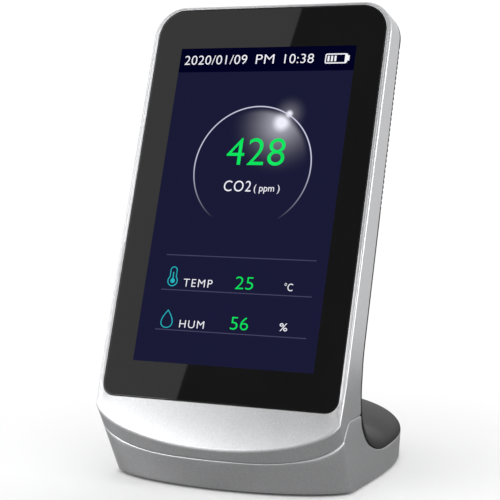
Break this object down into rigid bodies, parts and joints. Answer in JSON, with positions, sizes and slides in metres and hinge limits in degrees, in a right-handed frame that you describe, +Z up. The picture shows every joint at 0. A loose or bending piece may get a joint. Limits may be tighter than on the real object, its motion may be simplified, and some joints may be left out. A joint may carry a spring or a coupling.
{
  "type": "air quality monitor",
  "caption": "Desk air quality monitor: a leaning glass-fronted display slab on a weighted base with a low round tail, dark rear cover and a press button.",
  "frame": {"origin": "middle of the footprint, on the surface the rubber feet stand on", "axes": "+Z up; -Y towards the viewer, out of the display; +X to the viewer's right"},
  "size_m": [0.0762, 0.0885, 0.1365],
  "materials": {
    "silver": "moulded ABS with a fine metallic silver paint, satin",
    "black_plastic": "moulded ABS, dark grey, fine satin texture",
    "cover_glass": "smooth glass-clear cover lens with a black printed border, polished",
    "adhesive": "black double-sided foam tape",
    "screen": null,
    "backlight": "white diffuser in a thin bright metal tray",
    "board": "glass-fibre circuit board, green solder mask",
    "chip": "black moulded component body",
    "steel": "plated steel",
    "gold": "gold-plated brass measuring cell",
    "membrane": "white porous filter membrane and white moulded plunger",
    "battery": "lithium polymer pouch in grey laminate",
    "foam": "black foam and woven dust screen",
    "flex": "amber polyimide ribbon",
    "lead": "red PVC insulated lead",
    "rubber": "black rubber foot"
  },
  "bodies": {
    "monitor": {"front_housing": "silver", "base_shell": "silver", "rear_cover": "black_plastic", "bottom_plate": "black_plastic", "cover_glass": "cover_glass", "glass_gasket": "adhesive", "lcd_panel": "screen", "lcd_backlight": "backlight", "main_board": "board", "co2_board": "board", "climate_board": "board", "inlet_board": "board", "processor": "chip", "climate_sensor": "chip", "switch_body": "chip", "buzzer": "chip", "radio_can": "steel", "ballast_plate": "steel", "power_inlet": "steel", "base_screw_front_left": "steel", "base_screw_front_right": "steel", "base_screw_rear_left": "steel", "base_screw_rear_right": "steel", "board_screw_low_left": "steel", "board_screw_low_right": "steel", "board_screw_high_left": "steel", "board_screw_high_right": "steel", "co2_sensor": "gold", "co2_filter": "membrane", "battery_cell": "battery", "battery_pad": "foam", "dust_mesh": "foam", "display_flex": "flex", "battery_lead": "lead", "sensor_lead": "lead", "inlet_lead": "lead", "foot_front_left": "rubber", "foot_front_right": "rubber", "foot_rear_left": "rubber", "foot_rear_right": "rubber"},
    "button": {"power_button": "black_plastic", "switch_plunger": "membrane"}
  },
  "joints": [
    {"name": "power_button_press", "type": "slide", "parent": "monitor", "child": "button", "axis": [0, -1, 0], "range_m": [0, 0.0006], "stiffness_N_per_m": 1500, "springref_m": -0.0002}
  ]
}
